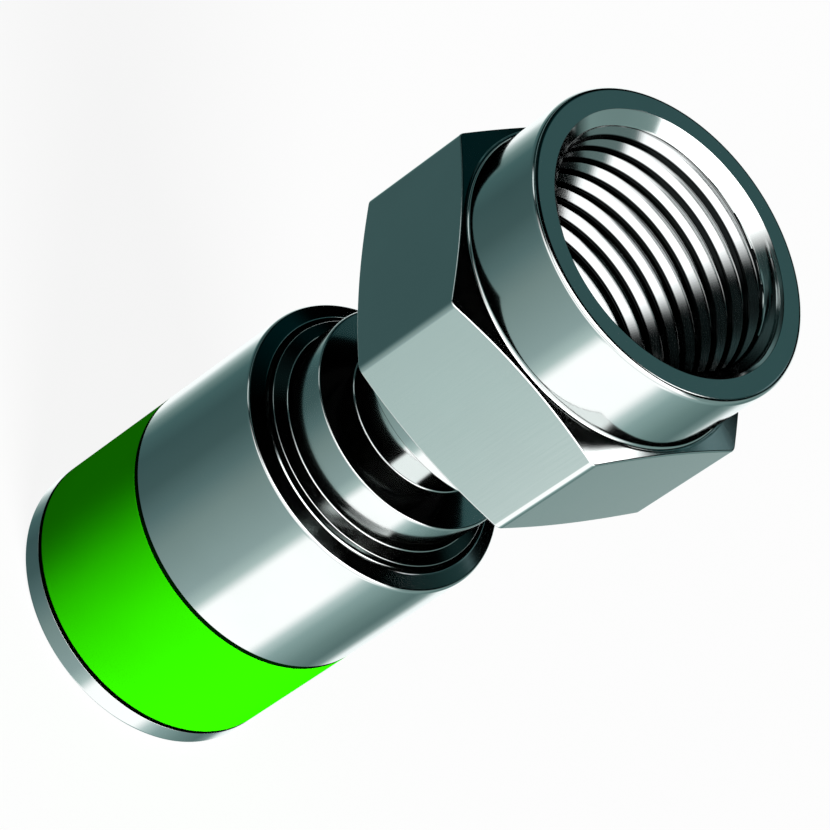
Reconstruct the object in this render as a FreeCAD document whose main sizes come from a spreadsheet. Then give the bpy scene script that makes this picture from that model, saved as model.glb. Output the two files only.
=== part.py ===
import FreeCAD, Part
import Sketcher
import os

# A screw-on coaxial plug with a captive hexagonal nut, of the kind that is closed onto its cable
# by pushing a sleeve along the connector body.
#
# Frame: millimetres, +Z along the axis towards the mouth of the nut, origin in the middle of the
# sleeve's rear rim, on which the part stands. A corner of the hexagon points along +X.
#
# Pieces, from the rear to the front:
#   compression_sleeve  barrel with a rear lip, a band seat and the cable entry
#   color_band          flush coloured ring in the band seat
#   grip_ferrule        soft ring inside the sleeve that is wedged onto the cable jacket
#   connector_body      tube inside the sleeve, stepped collar, neck
#   sleeve_seal         ring seal between the body's tube and the sleeve
#   post                flanged and barbed tube pressed through the body's neck
#   nut_seal            ring seal around the neck, inside the nut's rear recess
#   coupling_nut        hexagonal nut, free to turn on the post behind its flange

SIZES = {
    # Sleeve.
    "sleeve_length": (13.12, "rear rim to the inner edge of the front face"),
    "sleeve_outer_r": (5.44, "outside of the barrel"),
    "sleeve_wall": (0.64, "barrel wall"),
    "sleeve_face_fall": (0.19, "how far the front face falls back to its outer edge"),
    "sleeve_edge_bevel": (0.12, "broken outer edges"),
    "lip_thick": (0.90, "rear wall that carries the cable entry"),
    "entry_bevel": (0.25, "lead-in of the cable entry"),
    # Coloured band.
    "band_rear": (0.85, "rear rim to the band seat"),
    "band_width": (5.87, "length of the band seat"),
    "band_depth": (0.28, "depth of the band seat"),
    "band_gap": (0.20, "open line beside each end of the band"),
    "band_fit": (0.01, "radial clearance under the band"),
    # Gripping ferrule.
    "ferrule_foot": (0.80, "thickness of the foot ring"),
    "ferrule_length": (4.10, "foot face to nose"),
    "ferrule_fit": (0.12, "radial clearance of its tube in the body's cavity"),
    "ferrule_wall": (0.62, "wall of its tube"),
    "ferrule_relief": (0.06, "how much wider its bore is than the cable entry"),
    "ferrule_nose": (0.35, "length of the nose bevel"),
    "ferrule_seat_gap": (0.02, "gap between the foot and the lip or the barrel"),
    # Connector body.
    "slide_fit": (0.04, "radial clearance of the body's tube in the sleeve"),
    "tube_rear": (7.20, "rear rim to the rear end of the body's tube"),
    "tube_wall": (0.66, "wall of the tube around the cavity"),
    "tube_mouth": (0.30, "flare of the cavity's mouth"),
    "tube_bevel": (0.20, "bevel on the tube's rear outer edge"),
    "cavity_depth": (3.90, "depth of the cavity"),
    "shoulder_bevel": (0.14, "bevel between the tube and the shoulder"),
    "shoulder_sink": (0.26, "sleeve's front edge back to the start of that bevel"),
    "shoulder_stand": (0.14, "how far the shoulder stands out of the sleeve"),
    "shoulder_rise": (0.20, "height of the shoulder's shallow cone"),
    "collar_step": (0.46, "radial step from the shoulder down to the collar"),
    "collar_length": (1.71, "shoulder to the collar's front edge"),
    "collar_bevel": (0.08, "broken front edge of the collar"),
    "face_rise": (0.17, "rise of the collar's front face to the neck"),
    "neck_r": (2.82, "outside of the neck"),
    "neck_bevel": (0.10, "bevel at the neck's front end"),
    # Sleeve seal.
    "seal_groove_back": (0.90, "body's shoulder back to the seal groove"),
    "seal_groove_width": (0.90, "width of the seal groove"),
    "seal_groove_depth": (0.55, "depth of the seal groove"),
    "seal_gap": (0.02, "clearance around each ring seal"),
    "seal_side_gap": (0.08, "clearance on each side of the sleeve seal"),
    "seal_bevel": (0.15, "bevel along the four edges of each ring seal"),
    # Post.
    "post_bore_r": (1.95, "bore for the cable's insulator"),
    "post_r": (2.25, "outside of the post's tube"),
    "post_rear": (6.50, "rear rim to the post's rear end"),
    "flange_fit": (0.15, "radial clearance of the flange in the nut's thread"),
    "flange_thick": (0.85, "thickness of the flange"),
    "flange_bevel": (0.12, "bevel around the flange's front"),
    "barb_count": (2, "number of barbs"),
    "barb_pitch": (1.25, "length of one barb"),
    "barb_rise": (0.32, "height of a barb over the tube"),
    "barb_flat": (0.12, "land at the top of a barb"),
    "post_tip_r": (2.12, "outside of the post's rear tip"),
    # Coupling nut.
    "nut_rear": (18.00, "rear rim to the nut's rear face"),
    "rear_collar_wall": (0.99, "wall of the turned collar behind the hexagon"),
    "rear_collar_length": (1.57, "length of that collar"),
    "across_flats": (12.00, "width of the hexagon"),
    "hex_length": (5.37, "length of the hexagon"),
    "hex_corner_round": (0.30, "rounding of the hexagon's corners"),
    "hex_land_inset": (0.09, "flats in to the edge of the flat land"),
    "hex_bevel_angle": (17.0, "angle of the corner bevels to the land, degrees"),
    "hex_bevel_overrun": (1.0, "how far the turned bevel reaches past the corners"),
    "front_collar_step": (0.17, "edge of the land in to the turned collar at the mouth"),
    "front_collar_length": (3.31, "length of that collar"),
    "collar_root_bevel": (0.12, "fill where the front collar meets the land"),
    "mouth_edge_bevel": (0.14, "broken outer edge of the mouth"),
    "rear_edge_bevel": (0.10, "broken rear outer edge"),
    "mouth_flare": (0.54, "how much wider the lead-in starts than the thread"),
    "mouth_bevel": (0.45, "depth of the lead-in"),
    "thread_minor_r": (4.35, "crests of the internal thread"),
    "relief_depth": (0.50, "radial depth of the relief behind the thread"),
    "relief_ahead": (0.12, "how far the relief reaches past the flange"),
    "nut_lip_thick": (0.90, "inward lip behind the flange"),
    "recess_depth": (0.88, "recess for the seal in the nut's rear"),
    "nut_running_fit": (0.06, "radial clearance of the lip on the post"),
    "nut_play": (0.08, "axial clearance on each side of the lip"),
    "nut_seal_section": (0.80, "width of the nut seal's section"),
}

SHEET = "Sizes"
VOLUME_TOLERANCE = 1e-6

doc = FreeCAD.newDocument("coaxial_plug")
sheet = doc.addObject("Spreadsheet::Sheet", SHEET)
for row, (alias, (value, meaning)) in enumerate(SIZES.items(), start=1):
    sheet.set("A%d" % row, alias)
    sheet.set("B%d" % row, str(value))
    sheet.setAlias("B%d" % row, alias)
    sheet.set("C%d" % row, meaning)
doc.recompute()


def size(words):
    """An expression in which each word that is a size of the sheet gets the sheet's name."""
    parts = []
    for word in words.split():
        parts.append("%s.%s" % (SHEET, word) if word in SIZES else word)
    return " ".join(parts)


def number(words):
    """The present value of such an expression."""
    value = sheet.evalExpression(size(words))
    return float(getattr(value, "Value", value))


# Places that several pieces share, each worked out from the sizes above.
SLEEVE_BORE_R = "( sleeve_outer_r - sleeve_wall )"
TUBE_R = "( sleeve_outer_r - sleeve_wall - slide_fit )"
SHOULDER_R = "( sleeve_outer_r - sleeve_wall - slide_fit - shoulder_bevel )"
TUBE_BORE_R = "( sleeve_outer_r - sleeve_wall - slide_fit - tube_wall )"
FERRULE_R = "( sleeve_outer_r - sleeve_wall - slide_fit - tube_wall - ferrule_fit )"
FERRULE_BORE_R = "( " + FERRULE_R + " - ferrule_wall )"
ENTRY_R = "( " + FERRULE_BORE_R + " - ferrule_relief )"
COLLAR_R = "( sleeve_outer_r - sleeve_wall - slide_fit - shoulder_bevel - collar_step )"
SHOULDER_Z = "( sleeve_length + shoulder_stand )"
COLLAR_Z = "( sleeve_length + shoulder_stand + shoulder_rise )"
COLLAR_FRONT = "( sleeve_length + shoulder_stand + shoulder_rise + collar_length )"
NECK_ROOT = "( sleeve_length + shoulder_stand + shoulder_rise + collar_length + face_rise )"
LIP_REAR = "( nut_rear + recess_depth )"
LIP_FRONT = "( nut_rear + recess_depth + nut_lip_thick )"
NECK_FRONT = "( nut_rear + recess_depth - nut_play )"
FLANGE_REAR = "( nut_rear + recess_depth + nut_lip_thick + nut_play )"
FLANGE_FRONT = "( nut_rear + recess_depth + nut_lip_thick + nut_play + flange_thick )"
HEX_REAR = "( nut_rear + rear_collar_length )"
HEX_FRONT = "( nut_rear + rear_collar_length + hex_length )"
NUT_FRONT = "( nut_rear + rear_collar_length + hex_length + front_collar_length )"
HEX_CORNER_R = "( across_flats / 2 / cos( 30 ) )"
HEX_LAND_R = "( across_flats / 2 - hex_land_inset )"
FRONT_COLLAR_R = "( across_flats / 2 - hex_land_inset - front_collar_step )"
RECESS_R = "( neck_r + nut_seal_section + 2 * seal_gap )"
REAR_COLLAR_R = "( neck_r + nut_seal_section + 2 * seal_gap + rear_collar_wall )"
FLANGE_R = "( thread_minor_r - flange_fit )"
MOUTH_R = "( thread_minor_r + mouth_flare )"
RELIEF_R = "( thread_minor_r + relief_depth )"
THREAD_END = "( " + FLANGE_FRONT + " + relief_ahead )"
SEAL_GROOVE_FRONT = "( sleeve_length - seal_groove_back )"
SEAL_GROOVE_R = "( sleeve_outer_r - sleeve_wall - slide_fit - seal_groove_depth )"
FOOT_REAR = "( lip_thick + ferrule_seat_gap )"


def origin_plane(body, role):
    """One of the body's own origin planes, found by its role."""
    return next(item for item in body.Origin.OriginFeatures if item.Role == role)


def new_body(label):
    """An empty body whose label names the piece."""
    body = doc.addObject("PartDesign::Body", label)
    body.Label = label
    return body


def new_sketch(body, name, role="XZ_Plane"):
    """A sketch on one of the body's origin planes. On XZ, x is the radius and y the height."""
    sketch = body.newObject("Sketcher::SketchObject", name)
    sketch.AttachmentSupport = [(origin_plane(body, role), "")]
    sketch.MapMode = "FlatFace"
    return sketch


def pin_point(sketch, line, words, axis_kind):
    """Fixes the start of a line at a distance from the sketch's origin, given by an expression."""
    if words == "0":
        axis = -2 if axis_kind == "DistanceX" else -1
        sketch.addConstraint(Sketcher.Constraint("PointOnObject", line, 1, axis))
        return
    index = sketch.addConstraint(Sketcher.Constraint(axis_kind, -1, 1, line, 1, number(words)))
    sketch.setExpression("Constraints[%d]" % index, size(words))


def outline(body, name, corners):
    """A closed profile in the XZ plane whose corners are (radius, height) expressions."""
    sketch = new_sketch(body, name)
    spots = [FreeCAD.Vector(number(r), number(z), 0) for r, z in corners]
    for start, end in zip(spots, spots[1:] + spots[:1]):
        sketch.addGeometry(Part.LineSegment(start, end), False)
    last = len(corners) - 1
    for line in range(len(corners)):
        follower = 0 if line == last else line + 1
        sketch.addConstraint(Sketcher.Constraint("Coincident", line, 2, follower, 1))
    for line, (r, z) in enumerate(corners):
        pin_point(sketch, line, r, "DistanceX")
        pin_point(sketch, line, z, "DistanceY")
    return sketch


def turn(body, kind, name, sketch):
    """A full turn of a profile about the part's axis, added or cut."""
    before = body.Shape.Volume if kind == "PartDesign::Groove" else 0.0
    feature = body.newObject(kind, name)
    feature.Profile = sketch
    feature.ReferenceAxis = (sketch, ["V_Axis"])
    feature.Angle = 360
    doc.recompute()
    if kind == "PartDesign::Groove" and body.Shape.Volume > before - VOLUME_TOLERANCE:
        raise RuntimeError("%s cuts nothing" % name)
    return feature


def rings(shape, radius, height):
    """Names of the circular edges about the axis with this radius at this height."""
    found = []
    for index, edge in enumerate(shape.Edges, start=1):
        curve = edge.Curve
        if not isinstance(curve, Part.Circle):
            continue
        if abs(curve.Radius - number(radius)) > 1e-4 or abs(curve.Center.z - number(height)) > 1e-4:
            continue
        if abs(curve.Center.x) < 1e-4 and abs(curve.Center.y) < 1e-4:
            found.append("Edge%d" % index)
    if not found:
        raise RuntimeError("no edge of radius %s at height %s" % (radius, height))
    return found


def dress(body, kind, name, base, edges, words):
    """A fillet (its radius) or a chamfer (its size) on edges of the body's last feature."""
    feature = body.newObject(kind, name)
    feature.Base = (base, edges)
    field = "Radius" if kind == "PartDesign::Fillet" else "Size"
    feature.setExpression(field, size(words))
    doc.recompute()
    return feature


def compression_sleeve():
    """Barrel: flat rear lip with the cable entry, smooth bore, shallow seat for the band."""
    body = new_body("compression_sleeve")
    seat_r = "sleeve_outer_r - band_depth"
    seat_front = "band_rear + band_width"
    profile = outline(body, "barrel_profile", [
        (ENTRY_R, "0"),
        ("sleeve_outer_r", "0"),
        ("sleeve_outer_r", "band_rear"),
        (seat_r, "band_rear"),
        (seat_r, seat_front),
        ("sleeve_outer_r", seat_front),
        ("sleeve_outer_r", "sleeve_length - sleeve_face_fall"),
        (SLEEVE_BORE_R, "sleeve_length"),
        (SLEEVE_BORE_R, "lip_thick"),
        (ENTRY_R, "lip_thick"),
    ])
    barrel = turn(body, "PartDesign::Revolution", "barrel", profile)
    outer_edges = rings(barrel.Shape, "sleeve_outer_r", "0")
    outer_edges += rings(barrel.Shape, "sleeve_outer_r", "sleeve_length - sleeve_face_fall")
    broken = dress(body, "PartDesign::Chamfer", "outer_edges", barrel, outer_edges,
                   "sleeve_edge_bevel")
    dress(body, "PartDesign::Chamfer", "entry_lead_in", broken,
          rings(broken.Shape, ENTRY_R, "0"), "entry_bevel")
    return body


def color_band():
    """Thin flush ring, with an open line at each end."""
    body = new_body("color_band")
    inner = "sleeve_outer_r - band_depth + band_fit"
    rear = "band_rear + band_gap"
    front = "band_rear + band_width - band_gap"
    profile = outline(body, "band_profile", [
        (inner, rear),
        ("sleeve_outer_r", rear),
        ("sleeve_outer_r", front),
        (inner, front),
    ])
    turn(body, "PartDesign::Revolution", "band", profile)
    return body


def grip_ferrule():
    """Soft ring: a foot against the sleeve's lip and a bevelled tube that enters the body."""
    body = new_body("grip_ferrule")
    foot_r = SLEEVE_BORE_R + " - ferrule_seat_gap"
    foot_front = FOOT_REAR + " + ferrule_foot"
    nose = FOOT_REAR + " + ferrule_length"
    profile = outline(body, "ferrule_profile", [
        (FERRULE_BORE_R, FOOT_REAR),
        (foot_r, FOOT_REAR),
        (foot_r, foot_front),
        (FERRULE_R, foot_front),
        (FERRULE_R, nose + " - ferrule_nose"),
        (FERRULE_R + " - ferrule_nose / 2", nose),
        (FERRULE_BORE_R, nose),
    ])
    turn(body, "PartDesign::Revolution", "ferrule", profile)
    return body


def connector_body():
    """Tube inside the sleeve, stepped shoulder and collar, and the neck behind the nut."""
    body = new_body("connector_body")
    cavity_end = "tube_rear + cavity_depth"
    groove_rear = SEAL_GROOVE_FRONT + " - seal_groove_width"
    profile = outline(body, "body_profile", [
        (TUBE_BORE_R + " + tube_mouth / 2", "tube_rear"),
        (TUBE_R + " - tube_bevel", "tube_rear"),
        (TUBE_R, "tube_rear + tube_bevel"),
        (TUBE_R, groove_rear),
        (SEAL_GROOVE_R, groove_rear),
        (SEAL_GROOVE_R, SEAL_GROOVE_FRONT),
        (TUBE_R, SEAL_GROOVE_FRONT),
        (TUBE_R, "sleeve_length - shoulder_sink"),
        (SHOULDER_R, "sleeve_length - shoulder_sink + shoulder_bevel"),
        (SHOULDER_R, SHOULDER_Z),
        (COLLAR_R, COLLAR_Z),
        (COLLAR_R, COLLAR_FRONT),
        ("neck_r", NECK_ROOT),
        ("neck_r", NECK_FRONT),
        ("post_r", NECK_FRONT),
        ("post_r", cavity_end),
        (TUBE_BORE_R, cavity_end),
        (TUBE_BORE_R, "tube_rear + tube_mouth"),
    ])
    turned = turn(body, "PartDesign::Revolution", "turned_body", profile)
    broken = dress(body, "PartDesign::Chamfer", "collar_edge", turned,
                   rings(turned.Shape, COLLAR_R, COLLAR_FRONT), "collar_bevel")
    dress(body, "PartDesign::Chamfer", "neck_end", broken,
          rings(broken.Shape, "neck_r", NECK_FRONT), "neck_bevel")
    return body


def post():
    """Flanged tube with sharp-backed barbs that bite under the cable's braid."""
    body = new_body("post")
    corners = [
        ("post_bore_r", "post_rear"),
        ("post_tip_r", "post_rear"),
    ]
    for barb in range(int(number("barb_count"))):
        top = "post_rear + %d * barb_pitch" % (barb + 1)
        corners.append(("post_r + barb_rise", top + " - barb_flat"))
        corners.append(("post_r + barb_rise", top))
        corners.append(("post_r", top))
    corners += [
        ("post_r", FLANGE_REAR),
        (FLANGE_R, FLANGE_REAR),
        (FLANGE_R, FLANGE_FRONT),
        ("post_bore_r", FLANGE_FRONT),
    ]
    turned = turn(body, "PartDesign::Revolution", "turned_post",
                  outline(body, "post_profile", corners))
    dress(body, "PartDesign::Chamfer", "flange_edge", turned,
          rings(turned.Shape, FLANGE_R, FLANGE_FRONT), "flange_bevel")
    return body


def hexagon(body):
    """A regular hexagon with a corner on +X, sized through the circle of its corners."""
    sketch = new_sketch(body, "hexagon", "XY_Plane")
    sketch.AttachmentOffset = FreeCAD.Placement(FreeCAD.Vector(0, 0, number(HEX_REAR)),
                                                FreeCAD.Rotation())
    sketch.setExpression("AttachmentOffset.Base.z", size(HEX_REAR))
    reach = number(HEX_CORNER_R)
    spots = []
    for corner in range(6):
        turned = FreeCAD.Rotation(FreeCAD.Vector(0, 0, 1), 60 * corner)
        spots.append(turned.multVec(FreeCAD.Vector(reach, 0, 0)))
    for start, end in zip(spots, spots[1:] + spots[:1]):
        sketch.addGeometry(Part.LineSegment(start, end), False)
    circle = sketch.addGeometry(Part.Circle(FreeCAD.Vector(), FreeCAD.Vector(0, 0, 1), reach), True)
    sketch.addConstraint(Sketcher.Constraint("Coincident", circle, 3, -1, 1))
    for line in range(6):
        sketch.addConstraint(Sketcher.Constraint("Coincident", line, 2, (line + 1) % 6, 1))
        sketch.addConstraint(Sketcher.Constraint("PointOnObject", line, 1, circle))
    for line in range(1, 6):
        sketch.addConstraint(Sketcher.Constraint("Equal", 0, line))
    sketch.addConstraint(Sketcher.Constraint("PointOnObject", 0, 1, -1))
    index = sketch.addConstraint(Sketcher.Constraint("Radius", circle, reach))
    sketch.setExpression("Constraints[%d]" % index, size(HEX_CORNER_R))
    return sketch


def upright_edges(shape):
    """Names of the straight edges that run along the axis."""
    found = []
    for index, edge in enumerate(shape.Edges, start=1):
        if isinstance(edge.Curve, Part.Line) and abs(abs(edge.Curve.Direction.z) - 1) < 1e-6:
            found.append("Edge%d" % index)
    return found


def bevel_outline(body, name, plane_z, into):
    """Triangle that is turned to take the hexagon's corners off at one end."""
    beyond = HEX_CORNER_R + " + hex_bevel_overrun"
    drop = "%s ( %s - %s ) * tan( hex_bevel_angle )" % (into, beyond, HEX_LAND_R)
    return outline(body, name, [
        (HEX_LAND_R, plane_z),
        (beyond, plane_z),
        (beyond, plane_z + " " + drop),
    ])


def coupling_nut():
    """Hexagon with beveled corners between two turned collars, bored from both ends."""
    body = new_body("coupling_nut")
    prism = body.newObject("PartDesign::Pad", "hexagon_bar")
    prism.Profile = hexagon(body)
    prism.setExpression("Length", size("hex_length"))
    doc.recompute()
    dress(body, "PartDesign::Fillet", "bar_corners", prism, upright_edges(prism.Shape),
          "hex_corner_round")
    turn(body, "PartDesign::Groove", "front_bevel",
         bevel_outline(body, "front_bevel_profile", HEX_FRONT, "-"))
    turn(body, "PartDesign::Groove", "rear_bevel",
         bevel_outline(body, "rear_bevel_profile", HEX_REAR, "+"))
    middle = HEX_REAR + " + hex_length / 2"
    turn(body, "PartDesign::Revolution", "front_collar", outline(body, "front_collar_profile", [
        ("0", middle),
        (FRONT_COLLAR_R, middle),
        (FRONT_COLLAR_R, NUT_FRONT),
        ("0", NUT_FRONT),
    ]))
    collars = turn(body, "PartDesign::Revolution", "rear_collar",
                   outline(body, "rear_collar_profile", [
                       ("0", "nut_rear"),
                       (REAR_COLLAR_R, "nut_rear"),
                       (REAR_COLLAR_R, middle),
                       ("0", middle),
                   ]))
    root = dress(body, "PartDesign::Chamfer", "collar_root", collars,
                 rings(collars.Shape, FRONT_COLLAR_R, HEX_FRONT), "collar_root_bevel")
    mouth = dress(body, "PartDesign::Chamfer", "mouth_edge", root,
                  rings(root.Shape, FRONT_COLLAR_R, NUT_FRONT), "mouth_edge_bevel")
    dress(body, "PartDesign::Chamfer", "rear_edge", mouth,
          rings(mouth.Shape, REAR_COLLAR_R, "nut_rear"), "rear_edge_bevel")
    lip_r = "post_r + nut_running_fit"
    turn(body, "PartDesign::Groove", "bore", outline(body, "bore_profile", [
        ("0", "nut_rear"),
        (RECESS_R, "nut_rear"),
        (RECESS_R, LIP_REAR),
        (lip_r, LIP_REAR),
        (lip_r, LIP_FRONT),
        (RELIEF_R, LIP_FRONT),
        (RELIEF_R, THREAD_END),
        ("thread_minor_r", THREAD_END),
        ("thread_minor_r", NUT_FRONT + " - mouth_bevel"),
        (MOUTH_R, NUT_FRONT),
        ("0", NUT_FRONT),
    ]))
    return body


def ring_seal(label, inner, outer, rear, front):
    """Rubber ring with bevelled edges between two radii and two heights."""
    body = new_body(label)
    profile = outline(body, label + "_profile", [
        (inner + " + seal_bevel", rear),
        (outer + " - seal_bevel", rear),
        (outer, rear + " + seal_bevel"),
        (outer, front + " - seal_bevel"),
        (outer + " - seal_bevel", front),
        (inner + " + seal_bevel", front),
        (inner, front + " - seal_bevel"),
        (inner, rear + " + seal_bevel"),
    ])
    turn(body, "PartDesign::Revolution", label + "_ring", profile)
    return body


pieces = [
    compression_sleeve(),
    color_band(),
    grip_ferrule(),
    connector_body(),
    ring_seal("sleeve_seal", SEAL_GROOVE_R + " + seal_gap", SLEEVE_BORE_R + " - seal_gap",
              SEAL_GROOVE_FRONT + " - seal_groove_width + seal_side_gap",
              SEAL_GROOVE_FRONT + " - seal_side_gap"),
    post(),
    ring_seal("nut_seal", "neck_r + seal_gap", RECESS_R + " - seal_gap",
              LIP_REAR + " - seal_gap - nut_seal_section", LIP_REAR + " - seal_gap"),
    coupling_nut(),
]
doc.recompute()

for item in doc.Objects:
    if "Invalid" in item.State or "Error" in item.State:
        raise RuntimeError("%s failed: %s" % (item.Label, item.State))
for piece in pieces:
    if piece.Shape.isNull() or not piece.Shape.isValid() or len(piece.Shape.Solids) != 1:
        raise RuntimeError("%s is not one valid solid" % piece.Label)

os.makedirs("parts", exist_ok=True)
for piece in pieces:
    piece.Shape.exportStep(os.path.join("parts", piece.Label + ".step"))
    print("%-20s %9.3f mm3" % (piece.Label, piece.Shape.Volume))
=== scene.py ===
"""Looks of a screw-on coaxial plug: plated turned metal, a green ring and a cut thread."""
import logging
import math
from dataclasses import dataclass, field
from enum import Enum

import bmesh
import bpy
from mathutils import Matrix, Vector


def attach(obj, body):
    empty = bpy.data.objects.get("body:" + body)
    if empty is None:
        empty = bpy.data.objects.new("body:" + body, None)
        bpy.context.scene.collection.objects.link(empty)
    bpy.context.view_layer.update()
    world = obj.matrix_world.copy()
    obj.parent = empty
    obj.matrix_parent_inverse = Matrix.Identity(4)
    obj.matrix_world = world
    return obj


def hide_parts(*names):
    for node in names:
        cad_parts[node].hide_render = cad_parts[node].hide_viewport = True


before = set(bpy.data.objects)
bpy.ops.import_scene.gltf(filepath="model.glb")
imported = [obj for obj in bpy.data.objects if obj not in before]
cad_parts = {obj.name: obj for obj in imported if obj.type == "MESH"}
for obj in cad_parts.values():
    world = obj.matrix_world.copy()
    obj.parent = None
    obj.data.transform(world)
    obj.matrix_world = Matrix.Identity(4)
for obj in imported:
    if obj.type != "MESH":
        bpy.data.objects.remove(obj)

LOG = logging.getLogger("coaxial_plug")
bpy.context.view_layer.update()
MM = 0.001

Corner = tuple[float, float, float]
Colour = tuple[float, float, float]
Edge = tuple[float, float]
BLACK: Colour = (0.0, 0.0, 0.0)

# Flats along a rounding, and the most of a straight side that a lead point may take.
SMOOTH_STEPS = 6
LEAD_SHARE = 0.2

# Points closer than the first are one point, and edges shorter than the second are dropped.
WELD = 0.0002 * MM
SLIVER = 0.0001 * MM

# Where a finish's clouds begin and end to stain it, as values of the noise.
CLOUD_EDGES: Edge = (0.35, 0.65)


class Body(Enum):
    """The parts of the plug that move as one."""

    SLEEVE = "sleeve"
    CONNECTOR = "connector"
    NUT = "nut"


class Grain(Enum):
    """How the metal of a surface was worked."""

    TURNED = "turned"
    DRAWN = "drawn"


# Node trees.


class Flow:
    """A value that runs through a node tree and can be used in Python expressions."""

    def __init__(self, net: "Net", socket: bpy.types.NodeSocket) -> None:
        """Keeps the tree and the socket that the value comes from."""
        self.net = net
        self.socket = socket

    def __add__(self, other: "Flow | float") -> "Flow":
        """Sum."""
        return self.net.maths("ADD", self, other)

    __radd__ = __add__

    def __sub__(self, other: "Flow | float") -> "Flow":
        """Difference."""
        return self.net.maths("SUBTRACT", self, other)

    def __rsub__(self, other: float) -> "Flow":
        """Difference from a number."""
        return self.net.maths("SUBTRACT", other, self)

    def __mul__(self, other: "Flow | float") -> "Flow":
        """Product."""
        return self.net.maths("MULTIPLY", self, other)

    __rmul__ = __mul__

    def __truediv__(self, other: "Flow | float") -> "Flow":
        """Quotient."""
        return self.net.maths("DIVIDE", self, other)

    def __rtruediv__(self, other: float) -> "Flow":
        """A number divided by the value."""
        return self.net.maths("DIVIDE", other, self)

    def least(self, other: "Flow | float") -> "Flow":
        """The smaller of two values."""
        return self.net.maths("MINIMUM", self, other)

    def most(self, other: "Flow | float") -> "Flow":
        """The larger of two values."""
        return self.net.maths("MAXIMUM", self, other)

    def size(self) -> "Flow":
        """The value without its sign."""
        return self.net.maths("ABSOLUTE", self)

    def fraction(self) -> "Flow":
        """The part of the value after the point."""
        return self.net.maths("FRACT", self)

    def within(self, low: float, high: float) -> "Flow":
        """How far the value lies from low to high, held between 0 and 1.

        Args:
            low: value that gives 0.
            high: value that gives 1.

        Returns:
            The share as a value.
        """
        return ((self - low) / (high - low)).most(0.0).least(1.0)

    def between(self, near: Edge, far: Edge) -> "Flow":
        """1 between two soft edges and 0 outside them.

        Args:
            near: where the value begins to rise and where it is 1.
            far: where it begins to fall and where it is 0 again.

        Returns:
            The share as a value.
        """
        return self.within(*near) * (1.0 - self.within(*far))


class Net:
    """A node tree with one method for nodes and short ones for maths."""

    def __init__(self, tree: bpy.types.NodeTree) -> None:
        """Takes the tree that nodes are added to."""
        self.tree = tree

    def node(self, kind: str, settings: dict | None = None,
             values: dict | None = None) -> bpy.types.Node:
        """Adds one node.

        Args:
            kind: the node's type.
            settings: its own settings; "stops" are a ramp's positions and colours.
            values: socket name or number to a value, a flow or a socket.

        Returns:
            The node.
        """
        made = self.tree.nodes.new(kind)
        for name, setting in (settings or {}).items():
            if name == "stops":
                self._ramp(made.color_ramp, setting)
            else:
                setattr(made, name, setting)
        for key, value in (values or {}).items():
            socket = made.inputs[key]
            if isinstance(value, Flow):
                self.tree.links.new(value.socket, socket)
            elif isinstance(value, bpy.types.NodeSocket):
                self.tree.links.new(value, socket)
            else:
                socket.default_value = value
        return made

    @staticmethod
    def _ramp(ramp: bpy.types.ColorRamp, stops: list[tuple[float, Colour]]) -> None:
        """Sets a ramp's stops.

        Args:
            ramp: the ramp.
            stops: place and colour of each stop, in rising order.
        """
        while len(ramp.elements) < len(stops):
            ramp.elements.new(1.0)
        for element, (place, colour) in zip(ramp.elements, stops):
            element.position = place
            element.color = (*colour, 1.0)

    def out(self, node: bpy.types.Node, key: str | int = 0) -> Flow:
        """One of a node's outputs as a value."""
        return Flow(self, node.outputs[key])

    def maths(self, operation: str, *terms: "Flow | float") -> Flow:
        """A Math node on one to three terms."""
        values = dict(enumerate(terms))
        return self.out(self.node("ShaderNodeMath", {"operation": operation}, values))

    def parts(self, vector: Flow) -> tuple[Flow, Flow, Flow]:
        """The three parts of a vector."""
        split = self.node("ShaderNodeSeparateXYZ", {}, {0: vector})
        return self.out(split, 0), self.out(split, 1), self.out(split, 2)

    def vector(self, x: "Flow | float", y: "Flow | float", z: "Flow | float") -> Flow:
        """A vector from three numbers."""
        return self.out(self.node("ShaderNodeCombineXYZ", {}, {0: x, 1: y, 2: z}))

    def blend(self, share: Flow, first: "Flow | Colour", second: "Flow | Colour") -> Flow:
        """A colour between two others.

        Args:
            share: 0 gives the first colour and 1 the second.
            first: a colour or a value.
            second: a colour or a value.

        Returns:
            The blended colour.
        """
        picks = [(*pick, 1.0) if isinstance(pick, tuple) else pick for pick in (first, second)]
        mix = self.node("ShaderNodeMix", {"data_type": "RGBA"},
                        {0: share, 6: picks[0], 7: picks[1]})
        return self.out(mix, 2)


def empty_net(owner: bpy.types.Material | bpy.types.World) -> Net:
    """Gives a material or a world an empty node tree.

    Args:
        owner: the material or the world.

    Returns:
        Its tree.
    """
    owner.use_nodes = True
    owner.node_tree.nodes.clear()
    return Net(owner.node_tree)


# Finishes.


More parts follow.
